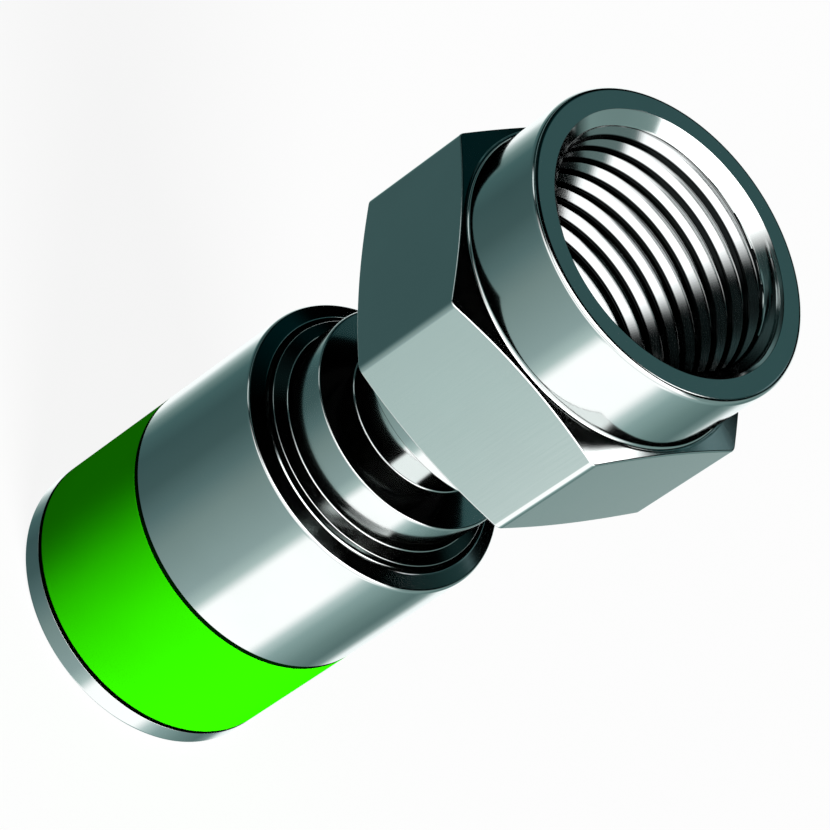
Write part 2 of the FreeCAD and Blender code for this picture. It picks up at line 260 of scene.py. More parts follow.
@dataclass(frozen=True)
class Plating:
    """Bright nickel over brass, with the fine marks of the tool that cut it.

    The lean tips sloping faces toward the axis and the climb tips upright ones toward the
    mouth, as a worn thread catches the light. Inside the painted-shade radius the base colour
    is painted near black, as painted shade in the gaps between the thread's crests. Lengths are
    in millimetres.
    """

    name: str
    colour: Colour = (0.86, 0.90, 0.89)
    roughness: float = 0.10
    mark_pitch: float = 0.11
    mark_depth: float = 0.00035
    grain: Grain = Grain.TURNED
    grain_width: float = 0.10
    grain_length: float = 2.5
    cloud_scale: float = 320.0
    cloud_wear: float = 0.04
    mark_wear: float = 0.05
    stain: float = 0.94
    stain_share: float = 0.5
    lean: float = 0.0
    climb: float = 0.0
    painted_shade_r: float = 0.0
    painted_shade_edge: float = 0.02
    painted_shade_colour: Colour = (0.01, 0.012, 0.012)

    def make(self) -> bpy.types.Material:
        """Builds the material.

        Returns:
            A new material.
        """
        material = bpy.data.materials.new(self.name)
        net = empty_net(material)
        place = net.out(net.node("ShaderNodeTexCoord"), "Object")
        x, y, z = net.parts(place)
        radius = net.out(net.node("ShaderNodeVectorMath", {"operation": "LENGTH"},
                                  {0: net.vector(x, y, 0.0)}), "Value")
        if self.grain is Grain.TURNED:
            along = net.vector((radius + z) / (self.mark_pitch * MM), 0.0, 0.0)
        else:
            across = self.grain_width * MM
            along = net.vector(x / across, y / across, z / (self.grain_length * MM))
        marks = net.out(net.node("ShaderNodeTexNoise", {},
                                 {"Vector": along, "Scale": 1.0, "Detail": 3.0}))
        cloud = net.out(net.node("ShaderNodeTexNoise", {},
                                 {"Vector": place, "Scale": self.cloud_scale, "Detail": 2.0}))
        worn = (marks - 0.5) * self.mark_wear + (cloud - 0.5) * self.cloud_wear
        shade = tuple(part * self.stain for part in self.colour)
        tint = net.blend(cloud.within(*CLOUD_EDGES) * self.stain_share, self.colour, shade)
        # Painted shade: near-black base colour inside the painted-shade radius darkens the gaps
        # between the thread's crests.
        if self.painted_shade_r:
            bright = radius.within((self.painted_shade_r - self.painted_shade_edge) * MM,
                                   (self.painted_shade_r + self.painted_shade_edge) * MM)
            tint = net.blend(bright, self.painted_shade_colour, tint)
        shader = net.node("ShaderNodeBsdfPrincipled", {}, {
            "Base Color": tint,
            "Metallic": 1.0,
            "Roughness": worn + self.roughness,
            "Normal": net.out(net.node("ShaderNodeBump", {}, {
                "Strength": 1.0, "Distance": 1.0,
                "Height": marks * (self.mark_depth * MM) + radius * self.lean
                - z * self.climb})),
        })
        net.node("ShaderNodeOutputMaterial", {}, {"Surface": shader.outputs[0]})
        return material


@dataclass(frozen=True)
class Moulded:
    """Plain coloured plastic or rubber with a fine moulded skin."""

    name: str
    colour: Colour
    roughness: float
    shine: float = 0.5
    skin_scale: float = 2500.0
    skin_depth: float = 0.002
    skin_wear: float = 0.10
    cloud_scale: float = 260.0
    stain: float = 0.90
    stain_share: float = 0.6

    def make(self) -> bpy.types.Material:
        """Builds the material.

        Returns:
            A new material.
        """
        material = bpy.data.materials.new(self.name)
        net = empty_net(material)
        place = net.out(net.node("ShaderNodeTexCoord"), "Object")
        skin = net.out(net.node("ShaderNodeTexNoise", {},
                                {"Vector": place, "Scale": self.skin_scale, "Detail": 4.0}))
        cloud = net.out(net.node("ShaderNodeTexNoise", {},
                                 {"Vector": place, "Scale": self.cloud_scale, "Detail": 2.0}))
        shade = tuple(part * self.stain for part in self.colour)
        tint = net.blend(cloud.within(*CLOUD_EDGES) * self.stain_share, self.colour, shade)
        shader = net.node("ShaderNodeBsdfPrincipled", {}, {
            "Base Color": tint,
            "Roughness": (skin - 0.5) * self.skin_wear + self.roughness,
            "Specular IOR Level": self.shine,
            "Normal": net.out(net.node("ShaderNodeBump", {}, {
                "Strength": 1.0, "Distance": self.skin_depth * MM, "Height": skin})),
        })
        net.node("ShaderNodeOutputMaterial", {}, {"Surface": shader.outputs[0]})
        return material


# Turned forms.


def points_per_corner(steps: int = SMOOTH_STEPS) -> int:
    """Points that softened() makes of one corner."""
    return steps + 3


def softened(corners: list[Corner], steps: int = SMOOTH_STEPS,
             lead: float = 0.02) -> list[tuple[float, float]]:
    """Rounds the corners of a closed outline.

    Args:
        corners: radius, height and rounding of each corner, in order.
        steps: flats along each rounding.
        lead: distance from a rounding to the extra point that keeps the face beside it flat.

    Returns:
        Radius and height of each point of the rounded outline.
    """
    made = []
    total = len(corners)
    for index, (r, z, rounding) in enumerate(corners):
        here = Vector((r, z))
        back = Vector(corners[index - 1][:2]) - here
        ahead = Vector(corners[(index + 1) % total][:2]) - here
        half = back.angle(ahead) / 2
        reach = rounding / math.tan(half)
        back_way = back.normalized()
        ahead_way = ahead.normalized()
        centre = here + (back_way + ahead_way).normalized() * (rounding / math.sin(half))
        first = here + back_way * reach
        last = here + ahead_way * reach
        made.append(first + back_way * min(lead, LEAD_SHARE * (back.length - reach)))
        sweep = (first - centre).angle_signed(last - centre) if rounding else 0.0
        for step in range(steps + 1):
            turn = Matrix.Rotation(-sweep * step / steps, 2)
            made.append(centre + turn @ (first - centre))
        made.append(last + ahead_way * min(lead, LEAD_SHARE * (ahead.length - reach)))
    return [(point.x, point.y) for point in made]


class Skin:
    """Rings of points that are joined into one closed skin."""

    def __init__(self) -> None:
        """Starts with no points and no faces."""
        self.points: list[tuple[float, float, float]] = []
        self.faces: list[tuple[int, ...]] = []
        self.slots: list[int] = []

    def ring(self, radii: list[float], heights: list[float], angles: list[float]) -> list[int]:
        """Adds a ring.

        Args:
            radii: radius of each point in millimetres.
            heights: height of each point in millimetres.
            angles: angle of each point in radians, rising.

        Returns:
            The numbers of its points.
        """
        start = len(self.points)
        for r, z, angle in zip(radii, heights, angles):
            self.points.append((r * MM * math.cos(angle), r * MM * math.sin(angle), z * MM))
        return list(range(start, len(self.points)))

    def circle(self, radius: float, height: float, angles: list[float]) -> list[int]:
        """Adds a flat round ring and gives the numbers of its points."""
        return self.ring([radius] * len(angles), [height] * len(angles), angles)

    def join(self, first: list[int], second: list[int], slot: int = 0) -> None:
        """Fills the strip between two rings, which may differ in their number of points.

        Args:
            first: points of one ring.
            second: points of the other ring.
            slot: material slot of the new faces.
        """
        if len(first) == len(second):
            for here in range(len(first)):
                there = (here + 1) % len(first)
                self.faces.append((first[here], first[there], second[there], second[here]))
                self.slots.append(slot)
            return
        spot, other = 0, 0
        while spot < len(first) or other < len(second):
            on_first = (spot + 1) / len(first) <= (other + 1) / len(second)
            a = first[spot % len(first)]
            b = second[other % len(second)]
            if on_first and spot < len(first):
                self.faces.append((a, first[(spot + 1) % len(first)], b))
                spot += 1
            else:
                self.faces.append((a, second[(other + 1) % len(second)], b))
                other += 1
            self.slots.append(slot)

    def chain(self, rings: list[list[int]], slot: int = 0) -> None:
        """Joins each ring to the next."""
        for first, second in zip(rings, rings[1:]):
            self.join(first, second, slot)

    def mesh(self, name: str, also: bpy.types.Mesh | None = None,
             also_slot: int = 0) -> bpy.types.Mesh:
        """Closes the skin into a mesh whose faces point outwards.

        Args:
            name: name of the mesh.
            also: another mesh that closes a gap in the skin.
            also_slot: material slot of that mesh's faces.

        Returns:
            The smooth mesh.
        """
        made = bpy.data.meshes.new(name)
        made.from_pydata(self.points, [], self.faces)
        made.polygons.foreach_set("material_index", self.slots)
        work = bmesh.new()
        work.from_mesh(made)
        if also is not None:
            work.from_mesh(also)
            work.faces.ensure_lookup_table()
            for face in work.faces[len(self.faces):]:
                face.material_index = also_slot
        bmesh.ops.remove_doubles(work, verts=work.verts, dist=WELD)
        bmesh.ops.dissolve_degenerate(work, edges=work.edges, dist=SLIVER)
        bmesh.ops.recalc_face_normals(work, faces=work.faces)
        open_edges = sum(1 for edge in work.edges if not edge.is_manifold)
        if open_edges:
            LOG.warning("%s has %d open edges", name, open_edges)
        for face in work.faces:
            face.smooth = True
        work.to_mesh(made)
        work.free()
        return made


def place(name: str, mesh: bpy.types.Mesh, body: Body, slot: str, nodes: list[str],
          materials: list[bpy.types.Material]) -> bpy.types.Object:
    """Puts a finished mesh into the scene.

    Args:
        name: name of the piece.
        mesh: its mesh, in its place.
        body: the body that it moves with.
        slot: the part's material slot that it stands for; not used.
        nodes: plain solids that it replaces.
        materials: its materials in the order of its slots.

    Returns:
        The new object.
    """
    piece = bpy.data.objects.new(name, mesh)
    bpy.context.scene.collection.objects.link(piece)
    for material in materials:
        mesh.materials.append(material)
    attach(piece, body.value)
    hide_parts(*nodes)
    mesh.calc_loop_triangles()
    LOG.info("%s: %d triangles on %s", name, len(mesh.loop_triangles), body.value)
    return piece


def round_angles(columns: int) -> list[float]:
    """Evenly spaced angles round the axis."""
    return [math.tau * step / columns for step in range(columns)]


@dataclass
class Turned:
    """A piece that a lathe makes from one closed outline."""

    name: str
    body: Body
    slot: str
    node: str
    corners: list[Corner]
    columns: int = 192

    def build(self, material: bpy.types.Material,
              ends: bpy.types.Material | None = None) -> bpy.types.Object:
        """Builds the piece.

        Args:
            material: its finish.
            ends: finish of the faces that look along the axis, where it differs; on the green
                ring it is a near-black painted shadow line.

        Returns:
            The new object.
        """
        skin = Skin()
        angles = round_angles(self.columns)
        points = softened(self.corners)
        rings = [skin.circle(r, z, angles) for r, z in points]
        for here, (r, z) in enumerate(points):
            there = (here + 1) % len(points)
            next_r, next_z = points[there]
            is_end = ends is not None and abs(next_r - r) > abs(next_z - z)
            skin.join(rings[here], rings[there], int(is_end))
        materials = [material, ends] if ends else [material]
        return place(self.name, skin.mesh(self.name), self.body, self.slot, [self.node],
                     materials)


# Sleeve and its ring.


@dataclass
class Sleeve:
    """Long barrel that is pushed along the body, with the flush ring in its seat."""

    length: float = 13.12
    outer_r: float = 5.44
    bore_r: float = 4.80
    entry_r: float = 3.30
    lip: float = 0.90
    face_fall: float = 0.19
    edge_round: float = 0.14
    band_rear: float = 0.85
    band_width: float = 5.87
    band_depth: float = 0.28
    band_gap: float = 0.20
    band_fit: float = 0.01

    def barrel(self) -> Turned:
        """Draws the barrel's outline.

        Returns:
            The barrel, ready to be turned.
        """
        seat = self.outer_r - self.band_depth
        front = self.band_rear + self.band_width
        return Turned("sleeve_barrel", Body.SLEEVE, "sleeve_plating", "compression_sleeve", [
            (self.entry_r, 0.0, 0.22),
            (self.outer_r, 0.0, self.edge_round),
            (self.outer_r, self.band_rear, 0.01),
            (seat, self.band_rear, 0.02),
            (seat, front, 0.02),
            (self.outer_r, front, 0.01),
            (self.outer_r, self.length - self.face_fall, self.edge_round),
            (self.bore_r, self.length, 0.04),
            (self.bore_r, self.lip, 0.05),
            (self.entry_r, self.lip, 0.03),
        ])

    def ring(self) -> Turned:
        """Draws the coloured ring's outline.

        Returns:
            The ring, ready to be turned.
        """
        inner = self.outer_r - self.band_depth + self.band_fit
        rear = self.band_rear + self.band_gap
        front = self.band_rear + self.band_width - self.band_gap
        return Turned("sleeve_ring", Body.SLEEVE, "band_green", "color_band", [
            (inner, rear, 0.02),
            (self.outer_r, rear, 0.02),
            (self.outer_r, front, 0.02),
            (inner, front, 0.02),
        ])

    def build(self, metal: bpy.types.Material, green: bpy.types.Material,
              green_end_shade: bpy.types.Material) -> None:
        """Builds both pieces.

        Args:
            metal: the barrel's finish.
            green: the ring's finish.
            green_end_shade: the ring's ends, near-black green as a painted shadow line at the
                groove's edges.
        """
        self.barrel().build(metal)
        # The ring's ends carry a near-black painted shadow line.
        self.ring().build(green, green_end_shade)


# Body and post.


@dataclass
class BodyAndPost:
    """Tube, shoulder, collar and neck, with the flanged post pressed through them."""

    tube_r: float = 4.76
    tube_rear: float = 7.20
    tube_bevel: float = 0.20
    flare_width: float = 0.15
    flare_length: float = 0.30
    cavity_r: float = 4.10
    cavity_end: float = 11.10
    groove_r: float = 4.21
    groove_rear: float = 11.32
    groove_front: float = 12.22
    bevel_rear: float = 12.86
    shoulder_r: float = 4.62
    shoulder_rear: float = 13.00
    shoulder_z: float = 13.26
    collar_r: float = 4.16
    collar_z: float = 13.46
    collar_front: float = 15.17
    neck_r: float = 2.82
    neck_root: float = 15.34
    neck_front: float = 18.80
    post_r: float = 2.25
    post_bore_r: float = 1.95
    post_rear: float = 6.50
    post_tip_r: float = 2.12
    flange_r: float = 4.20
    flange_rear: float = 19.86
    flange_front: float = 20.71
    barb_r: float = 2.57
    barb_pitch: float = 1.25
    barb_land: float = 0.12
    barbs: int = 2
    post_columns: int = 128

    def tube(self) -> Turned:
        """Draws the body's outline.

        Returns:
            The body, ready to be turned.
        """
        return Turned("plug_body", Body.CONNECTOR, "body_plating", "connector_body", [
            (self.cavity_r + self.flare_width, self.tube_rear, 0.03),
            (self.tube_r - self.tube_bevel, self.tube_rear, 0.04),
            (self.tube_r, self.tube_rear + self.tube_bevel, 0.04),
            (self.tube_r, self.groove_rear, 0.03),
            (self.groove_r, self.groove_rear, 0.05),
            (self.groove_r, self.groove_front, 0.05),
            (self.tube_r, self.groove_front, 0.03),
            (self.tube_r, self.bevel_rear, 0.03),
            (self.shoulder_r, self.shoulder_rear, 0.03),
            (self.shoulder_r, self.shoulder_z, 0.03),
            (self.collar_r, self.collar_z, 0.05),
            (self.collar_r, self.collar_front, 0.09),
            (self.neck_r, self.neck_root, 0.08),
            (self.neck_r, self.neck_front, 0.08),
            (self.post_r, self.neck_front, 0.02),
            (self.post_r, self.cavity_end, 0.02),
            (self.cavity_r, self.cavity_end, 0.05),
            (self.cavity_r, self.tube_rear + self.flare_length, 0.05),
        ])

    def post(self) -> Turned:
        """Draws the post's outline.

        Returns:
            The post, ready to be turned.
        """
        corners = [
            (self.post_bore_r, self.post_rear, 0.02),
            (self.post_tip_r, self.post_rear, 0.03),
        ]
        for barb in range(1, self.barbs + 1):
            top = self.post_rear + barb * self.barb_pitch
            corners += [
                (self.barb_r, top - self.barb_land, 0.03),
                (self.barb_r, top, 0.02),
                (self.post_r, top, 0.02),
            ]
        corners += [
            (self.post_r, self.flange_rear, 0.05),
            (self.flange_r, self.flange_rear, 0.04),
            (self.flange_r, self.flange_front, 0.12),
            (self.post_bore_r, self.flange_front, 0.08),
        ]
        return Turned("plug_post", Body.CONNECTOR, "post_plating", "post", corners,
                      self.post_columns)

    def build(self, metal: bpy.types.Material, post_metal: bpy.types.Material) -> None:
        """Builds both pieces.

        Args:
            metal: the body's finish.
            post_metal: the post's finish.
        """
        self.tube().build(metal)
        self.post().build(post_metal)


# Nut.


class NutFinish(Enum):
    """The nut's material slots, by the way that its faces were made."""

    TURNED = 0
    DRAWN = 1
    CUT = 2
    BEVELLED = 3


@dataclass
class CutThread:
    """Right-hand internal thread, wrapped from a flat strip by Geometry Nodes.

    The profile is given in shares of the pitch from the middle of a root: the root's flat ends
    at the root share and the crest begins at the crest share. The profile starts a lag behind
    the thread's start.
    """

    pitch: float = 25.4 / 32
    crest_r: float = 4.35
    root_r: float = 4.78
    start: float = 20.83
    end: float = 28.25
    mouth_r: float = 4.89
    mouth_slope: float = 0.54 / 0.45
    root_share: float = 1 / 16
    crest_share: float = 6 / 16
    lag: float = 0.125
    weld: float = 0.0005
    steps: int = 20
    columns: int = 288

    def mouth_start(self) -> float:
        """Height at which the lead-in is as wide as the thread's roots."""
        return self.end - (self.mouth_r - self.root_r) / self.mouth_slope

    def start_radius(self, angle: float) -> float:
        """Radius at which the thread meets the relief behind it.

        Args:
            angle: angle about the axis in radians.

        Returns:
            The radius in millimetres.
        """
        away = abs((-angle / math.tau - self.lag) % 1.0 - 0.5)
        fall = (away - self.root_share) / (self.crest_share - self.root_share)
        fall = min(1.0, max(0.0, fall))
        return self.root_r - (self.root_r - self.crest_r) * fall

    def strip(self) -> bpy.types.Mesh:
        """Flat strip whose x is the angle in radians and whose y counts turns.

        Returns:
            The strip as a mesh.
        """
        length = self.mouth_start() - self.start
        rows = math.ceil((length / self.pitch + 1) * self.steps) + 1
        points = []
        faces = []
        for row in range(rows):
            for column in range(self.columns + 1):
                points.append((math.tau * column / self.columns, row / self.steps - 1.0, 0.0))
        for row in range(rows - 1):
            for column in range(self.columns):
                a = row * (self.columns + 1) + column
                b = a + self.columns + 1
                faces.append((a, a + 1, b + 1, b))
        mesh = bpy.data.meshes.new("thread_strip")
        mesh.from_pydata(points, [], faces)
        return mesh

    def tree(self) -> bpy.types.GeometryNodeTree:
        """Geometry Nodes that wrap the strip into the thread.

        Returns:
            The tree, with an input for each size.
        """
        group = bpy.data.node_groups.new("cut_thread", "GeometryNodeTree")
        sockets = group.interface
        sockets.new_socket("Geometry", in_out="INPUT", socket_type="NodeSocketGeometry")
        for name in ("Pitch", "Crest Radius", "Root Radius", "Start", "End", "Mouth Slope"):
            sockets.new_socket(name, in_out="INPUT", socket_type="NodeSocketFloat")
        sockets.new_socket("Material", in_out="INPUT", socket_type="NodeSocketMaterial")
        sockets.new_socket("Geometry", in_out="OUTPUT", socket_type="NodeSocketGeometry")
        net = Net(group)
        given = net.node("NodeGroupInput")
        pitch = net.out(given, "Pitch")
        crest = net.out(given, "Crest Radius")
        root = net.out(given, "Root Radius")
        start = net.out(given, "Start")
        end = net.out(given, "End")
        angle, turn, _ = net.parts(net.out(net.node("GeometryNodeInputPosition")))
        round_share = angle / math.tau
        height = (start + pitch * (turn + round_share)).most(start).least(end)
        phase = (height - start) / pitch - round_share
        away = ((phase - self.lag).fraction() - 0.5).size()
        radius = root - (root - crest) * away.within(self.root_share, self.crest_share)
        cone = root - (end - height) * net.out(given, "Mouth Slope")
        radius = radius.most(cone)
        spot = net.vector(radius * net.maths("COSINE", angle),
                          radius * net.maths("SINE", angle), height)
        wrapped = net.node("GeometryNodeSetPosition", {},
                           {"Geometry": given.outputs["Geometry"], "Position": spot})
        closed = net.node("GeometryNodeMergeByDistance", {},
                          {"Geometry": wrapped.outputs[0], "Distance": self.weld * MM})
        real = net.node("GeometryNodeRealizeInstances", {}, {"Geometry": closed.outputs[0]})
        dressed = net.node("GeometryNodeSetMaterial", {}, {
            "Geometry": real.outputs[0], "Material": given.outputs["Material"]})
        net.node("NodeGroupOutput", {}, {"Geometry": dressed.outputs[0]})
        return group

    def mesh(self, metal: bpy.types.Material) -> bpy.types.Mesh:
        """Wraps the strip.

        Args:
            metal: the thread's finish.

        Returns:
            The thread as a plain mesh.
        """
        tree = self.tree()
        carrier = bpy.data.objects.new("thread_carrier", self.strip())
        bpy.context.scene.collection.objects.link(carrier)
        modifier = carrier.modifiers.new("wrap", "NODES")
        modifier.node_group = tree
        sizes = {
            "Pitch": self.pitch * MM, "Crest Radius": self.crest_r * MM,
            "Root Radius": self.root_r * MM, "Start": self.start * MM,
            "End": self.mouth_start() * MM, "Mouth Slope": self.mouth_slope,
            "Material": metal,
        }
        for item in tree.interface.items_tree:
            if item.in_out == "INPUT" and item.name in sizes:
                modifier[item.identifier] = sizes[item.name]
        graph = bpy.context.evaluated_depsgraph_get()
        wrapped = bpy.data.meshes.new_from_object(carrier.evaluated_get(graph))
        carrier.modifiers.remove(modifier)
        bpy.data.objects.remove(carrier)
        return wrapped


@dataclass
class CouplingNut:
    """Hexagon with bevelled corners between two turned collars, threaded inside."""

    rear: float = 18.00
    hex_rear: float = 19.57
    hex_front: float = 24.94
    front: float = 28.25
    across_flats: float = 12.00
    corner_round: float = 0.30
    land_r: float = 5.91
    bevel_slope: float = math.tan(math.radians(17.0))
    bevel_round: float = 0.07
    front_collar_r: float = 5.74
    root_round: float = 0.13
    mouth_round: float = 0.20
    rear_collar_r: float = 4.65
    recess_r: float = 3.66
    recess_front: float = 18.88
    lip_r: float = 2.31
    lip_front: float = 19.78
    relief_r: float = 4.85
    corner_steps: int = 5
    flat_steps: int = 18
    corner_lead: float = 0.003
    edge_steps: int = 4
    edge_lead: float = 0.012
    land_depth: float = 0.4
    land_overlap: float = 0.03
    cone_reach: float = 0.01
    thread: CutThread = field(default_factory=CutThread)

    def hex_columns(self) -> list[tuple[float, float]]:
        """Angles and radii of the rounded hexagon.

        Returns:
            Angle in radians and radius in millimetres of each column, by rising angle.
        """
        half = self.across_flats / 2
        side_angle = math.tau / 6
        half_side = side_angle / 2
        centre = (half - self.corner_round) / math.cos(half_side)
        sector = []
        for step in range(-self.corner_steps, self.corner_steps + 1):
            lean = half_side * step / self.corner_steps
            x = centre + self.corner_round * math.cos(lean)
            y = self.corner_round * math.sin(lean)
            sector.append((math.atan2(y, x), math.hypot(x, y)))
        first = sector[-1][0]
        last = side_angle - first
        inside = [first + (last - first) * step / self.flat_steps
                  for step in range(1, self.flat_steps)]
        for angle in (first + self.corner_lead, *inside, last - self.corner_lead):
            sector.append((angle, half / math.cos(angle - half_side)))
        made = []
        for side in range(6):
            made += [(angle + side_angle * side, r) for angle, r in sector]
        return made

    def hex_rings(self, skin: Skin) -> list[list[int]]:
        """Rings over the hexagon from its front land to its rear land.

        Args:
            skin: the skin that the rings go into.

        Returns:
            The rings, front first.
        """
        columns = self.hex_columns()
        angles = [angle for angle, _ in columns]
        inner = self.land_r - self.land_depth
        per_corner = points_per_corner(self.edge_steps)
        sections = []
        for _, r in columns:
            drop = (r - self.land_r) * self.bevel_slope
            outline = softened([
                (inner, (self.hex_front + self.hex_rear) / 2, 0.0),
                (inner, self.hex_front, 0.0),
                (self.land_r, self.hex_front, 0.02),
                (r, self.hex_front - drop, self.bevel_round),
                (r, self.hex_rear + drop, self.bevel_round),
                (self.land_r, self.hex_rear, 0.02),
                (inner, self.hex_rear, 0.0),
            ], self.edge_steps, self.edge_lead)
            sections.append(outline[2 * per_corner:6 * per_corner])
        rings = []
        for row in range(len(sections[0])):
            rings.append(skin.ring([section[row][0] for section in sections],
                                   [section[row][1] for section in sections], angles))
        return rings

    def build(self, turned: bpy.types.Material, drawn: bpy.types.Material,
              cut: bpy.types.Material, bevelled: bpy.types.Material) -> None:
        """Builds the nut.

        Args:
            turned: finish of what the lathe cut.
            drawn: finish of the hexagon's flats.
            cut: finish of the thread.
            bevelled: finish of the front bevels over the corners.
        """
        skin = Skin()
        angles = round_angles(self.thread.columns)
        inner = self.land_r - self.land_overlap
        per_corner = points_per_corner()
        front_way = softened([
            (self.thread.root_r, self.thread.mouth_start(), 0.0),
            (self.thread.mouth_r, self.front, 0.02),
            (self.front_collar_r, self.front, self.mouth_round),
            (self.front_collar_r, self.hex_front, self.root_round),
            (inner, self.hex_front, 0.0),
            (inner, self.hex_front - 1.0, 0.0),
        ])[per_corner - 2:4 * per_corner + 1]
        rear_way = softened([
            (inner, self.hex_rear + 1.0, 0.0),
            (inner, self.hex_rear, 0.0),
            (self.rear_collar_r, self.hex_rear, 0.10),
            (self.rear_collar_r, self.rear, 0.10),
            (self.recess_r, self.rear, 0.06),
            (self.recess_r, self.recess_front, 0.05),
            (self.lip_r, self.recess_front, 0.04),
            (self.lip_r, self.lip_front, 0.04),
            (self.relief_r, self.lip_front, 0.05),
            (self.relief_r, self.thread.start, 0.03),
            (self.thread.crest_r, self.thread.start, 0.0),
        ])[2 * per_corner - 1:10 * per_corner - 1]
        front_rings = [skin.circle(r, z, angles) for r, z in front_way]
        hex_rings = self.hex_rings(skin)
        rear_rings = [skin.circle(r, z, angles) for r, z in rear_way]
        thread_ring = skin.ring([self.thread.start_radius(angle) for angle in angles],
                                [self.thread.start] * len(angles), angles)
        bevel = points_per_corner(self.edge_steps)
        flat = bevel + 2
        skin.chain(front_rings)
        skin.join(front_rings[-1], hex_rings[0])
        skin.chain(hex_rings[:bevel])
        skin.join(hex_rings[bevel - 1], hex_rings[bevel], NutFinish.BEVELLED.value)
        skin.chain(hex_rings[bevel:flat + 1])
        skin.chain(hex_rings[flat:-flat], NutFinish.DRAWN.value)
        skin.chain(hex_rings[-flat - 1:])
        skin.join(hex_rings[-1], rear_rings[0])
        skin.chain(rear_rings + [thread_ring])
        mesh = skin.mesh("hex_nut", self.thread.mesh(cut), NutFinish.CUT.value)
        for face in mesh.polygons:
            x, y, z = face.center / MM
            cone = self.thread.mouth_r - (self.front - z) * self.thread.mouth_slope
            on_cone = abs(math.hypot(x, y) - cone) < self.cone_reach
            if on_cone and face.material_index == NutFinish.CUT.value:
                face.material_index = NutFinish.TURNED.value
        place("hex_nut", mesh, Body.NUT, "nut_plating", ["coupling_nut"],
              [turned, drawn, cut, bevelled])


# Studio.


@dataclass(frozen=True)
class View:
    """The photograph's camera, solved from the plug's own circles."""

    place: tuple[float, float, float] = (24.0436, 135.3297, 132.3231)
    right: tuple[float, float, float] = (-0.65223, -0.42675, 0.62648)
    up: tuple[float, float, float] = (0.74635, -0.50602, 0.43232)
    lens: float = 232.1
    sensor: float = 36.0
    azimuth: float = 79.97

    def make(self) -> bpy.types.Object:
        """Adds the camera.

        Returns:
            The camera's object.
        """
        camera = bpy.data.cameras.new("camera")
        camera.sensor_width = self.sensor
        camera.lens = self.lens
        camera.clip_start = 0.01
        camera.clip_end = 10.0
        holder = bpy.data.objects.new("camera", camera)
        bpy.context.scene.collection.objects.link(holder)
        right = Vector(self.right).normalized()
        back = right.cross(Vector(self.up)).normalized()
        up = back.cross(right)
        turn = Matrix((right, up, back)).transposed()
        holder.matrix_world = Matrix.Translation(Vector(self.place) * MM) @ turn.to_4x4()
        bpy.context.scene.camera = holder
        return holder


@dataclass(frozen=True)
class Patch:
    """A soft-edged patch of light or dark in the room, for the metal to mirror.

    The sides are in degrees from the camera's side, and the floor and the ceiling in degrees
    above the table. Each edge is a pair, as in Flow.between; without one the patch runs on.
    """

    light: Colour
    near: Edge
    far: Edge
    floor: Edge | None = None
    ceiling: Edge | None = None

    def over(self, net: Net, turn: Flow, height: Flow, under: Flow | Colour) -> Flow:
        """Lays the patch over the light that is there.

        Args:
            net: the room's tree.
            turn: degrees from the camera's side.
            height: degrees above the table.
            under: the light that is there.

        Returns:
            The light with the patch in it.
        """
        share = turn.between(self.near, self.far)
        if self.floor:
            share = share * height.within(*self.floor)
        if self.ceiling:
            share = share * (1.0 - height.within(*self.ceiling))
        return net.blend(share, under, self.light)


OVERHEAD = Patch((2.6, 2.6, 2.6), (-42.0, -27.0), (98.0, 108.0), (41.85, 45.0))
RIGHT_LAMP = Patch((2.2, 2.2, 2.2), (36.0, 46.8), (90.0, 96.48), (29.7, 32.4), (43.2, 45.0))
LEFT_SHADE = Patch(BLACK, (-118.8, -111.6), (-48.0, -38.0), (25.2, 27.9), (45.0, 47.7))
LEFT_PANEL = Patch((0.75, 0.85, 0.85), (-91.8, -87.48), (-74.52, -70.2), (4.5, 8.1),
                   (22.5, 26.1))
BACK_PANEL = Patch((0.13, 0.21, 0.22), (153.72, 156.6), (168.12, 171.0), (27.99, 29.79),
                   (34.29, 36.09))
BACK_WINDOW = Patch((2.2, 2.2, 2.2), (149.04, 151.92), (160.56, 163.44), (46.35, 49.05),
                    (57.15, 59.85))
SECOND_STRIP = Patch((1.1, 1.1, 1.1), (28.08, 32.04), (71.64, 75.6), (9.9, 13.5),
                     (38.7, 42.3))


